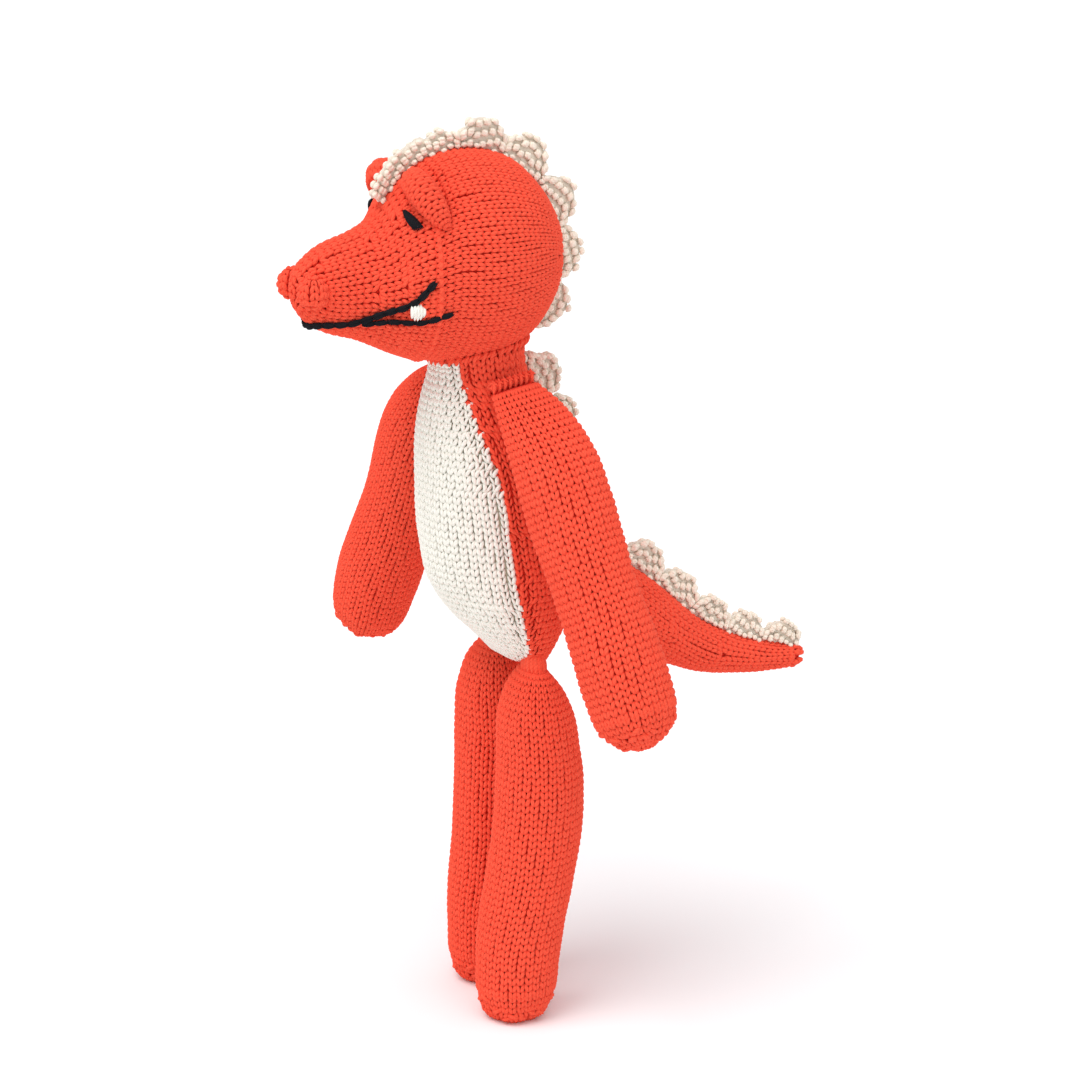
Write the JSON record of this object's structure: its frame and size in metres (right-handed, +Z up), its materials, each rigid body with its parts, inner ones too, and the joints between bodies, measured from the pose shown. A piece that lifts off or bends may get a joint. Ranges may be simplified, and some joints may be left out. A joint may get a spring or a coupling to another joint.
{
  "type": "stuffed dinosaur",
  "caption": "Hand-knitted stuffed dinosaur with a long snout, cream belly, scalloped crest down its back, and tube arms, legs and tail sewn on so that they swing",
  "frame": {"origin": "on the floor under the soles, at the middle of the toy's bounding box", "axes": "+Z up, the toy looks along -Y, its own left side is +X; the rest pose stands on both soles"},
  "size_m": [0.2168, 0.242, 0.3926],
  "materials": {
    "coral_knit": "matte stocking-stitch knit in smooth plied yarn",
    "cream_knit": "matte stocking-stitch knit in smooth plied yarn",
    "crest_knit": "matte, bumpy moss-stitch knit",
    "black_yarn": "matte embroidery yarn",
    "stuffing": "loose white fibre"
  },
  "bodies": {
    "torso": {"belly_panel": "cream_knit", "back_panel": "coral_knit", "torso_filling": "stuffing", "back_crest": "crest_knit"},
    "neck_joint": {"neck_seam": "coral_knit"},
    "head": {"head_cover": "coral_knit", "head_filling": "stuffing", "snout_cover": "coral_knit", "snout_filling": "stuffing", "head_crest": "crest_knit", "mouth_line": "black_yarn", "left_brow": "coral_knit", "left_eye": "black_yarn", "left_nostril": "coral_knit", "left_lip_line": "black_yarn", "left_tooth": "cream_knit", "right_brow": "coral_knit", "right_eye": "black_yarn", "right_nostril": "coral_knit", "right_lip_line": "black_yarn", "right_tooth": "cream_knit"},
    "tail_joint": {"tail_seam": "coral_knit"},
    "tail": {"tail_cover": "coral_knit", "tail_filling": "stuffing", "tail_crest": "crest_knit"},
    "left_shoulder": {"left_shoulder_seam": "coral_knit"},
    "left_arm": {"left_arm_cover": "coral_knit", "left_arm_filling": "stuffing", "left_hand_gather_yarn": "coral_knit"},
    "left_hip": {"left_hip_seam": "coral_knit"},
    "left_leg": {"left_leg_cover": "coral_knit", "left_leg_filling": "stuffing"},
    "right_shoulder": {"right_shoulder_seam": "coral_knit"},
    "right_arm": {"right_arm_cover": "coral_knit", "right_arm_filling": "stuffing", "right_hand_gather_yarn": "coral_knit"},
    "right_hip": {"right_hip_seam": "coral_knit"},
    "right_leg": {"right_leg_cover": "coral_knit", "right_leg_filling": "stuffing"}
  },
  "joints": [
    {"name": "neck_turn", "type": "hinge", "parent": "torso", "child": "neck_joint", "pos_m": [0.0058, -0.03887, 0.289], "axis": [0, 0, 1], "range_deg": [-35, 35]},
    {"name": "neck_nod", "type": "hinge", "parent": "neck_joint", "child": "head", "pos_m": [0.0058, -0.03887, 0.289], "axis": [1, 0, 0], "range_deg": [-12, 12]},
    {"name": "tail_wag", "type": "hinge", "parent": "torso", "child": "tail_joint", "pos_m": [0.0058, 0.00842, 0.1881], "axis": [0, 0, 1], "range_deg": [-18, 18]},
    {"name": "tail_lift", "type": "hinge", "parent": "tail_joint", "child": "tail", "pos_m": [0.0058, 0.00842, 0.1881], "axis": [1, 0, 0], "range_deg": [-12, 12]},
    {"name": "left_shoulder_swing", "type": "hinge", "parent": "torso", "child": "left_shoulder", "pos_m": [0.03104, -0.0346, 0.2851], "axis": [-0.9928, -0.12, 0], "range_deg": [-45, 60]},
    {"name": "left_shoulder_raise", "type": "hinge", "parent": "left_shoulder", "child": "left_arm", "pos_m": [0.03104, -0.0346, 0.2851], "axis": [0.1187, -0.9814, -0.1508], "range_deg": [-3, 80]},
    {"name": "left_hip_splay", "type": "hinge", "parent": "torso", "child": "left_hip", "pos_m": [0.0273, -0.02287, 0.1599], "axis": [0, -1, 0], "range_deg": [0, 15]},
    {"name": "left_hip_swing", "type": "hinge", "parent": "left_hip", "child": "left_leg", "pos_m": [0.0273, -0.02287, 0.1599], "axis": [-1, 0, 0], "range_deg": [-40, 78]},
    {"name": "right_shoulder_swing", "type": "hinge", "parent": "torso", "child": "right_shoulder", "pos_m": [-0.01944, -0.0346, 0.2851], "axis": [-1, -0.0094, 0], "range_deg": [-45, 60]},
    {"name": "right_shoulder_raise", "type": "hinge", "parent": "right_shoulder", "child": "right_arm", "pos_m": [-0.01944, -0.0346, 0.2851], "axis": [-0.0093, 0.9933, -0.1152], "range_deg": [-3, 80]},
    {"name": "right_hip_splay", "type": "hinge", "parent": "torso", "child": "right_hip", "pos_m": [-0.0157, -0.02287, 0.1599], "axis": [0, 1, 0], "range_deg": [0, 15]},
    {"name": "right_hip_swing", "type": "hinge", "parent": "right_hip", "child": "right_leg", "pos_m": [-0.0157, -0.02287, 0.1599], "axis": [-1, 0, 0], "range_deg": [-40, 78]}
  ]
}
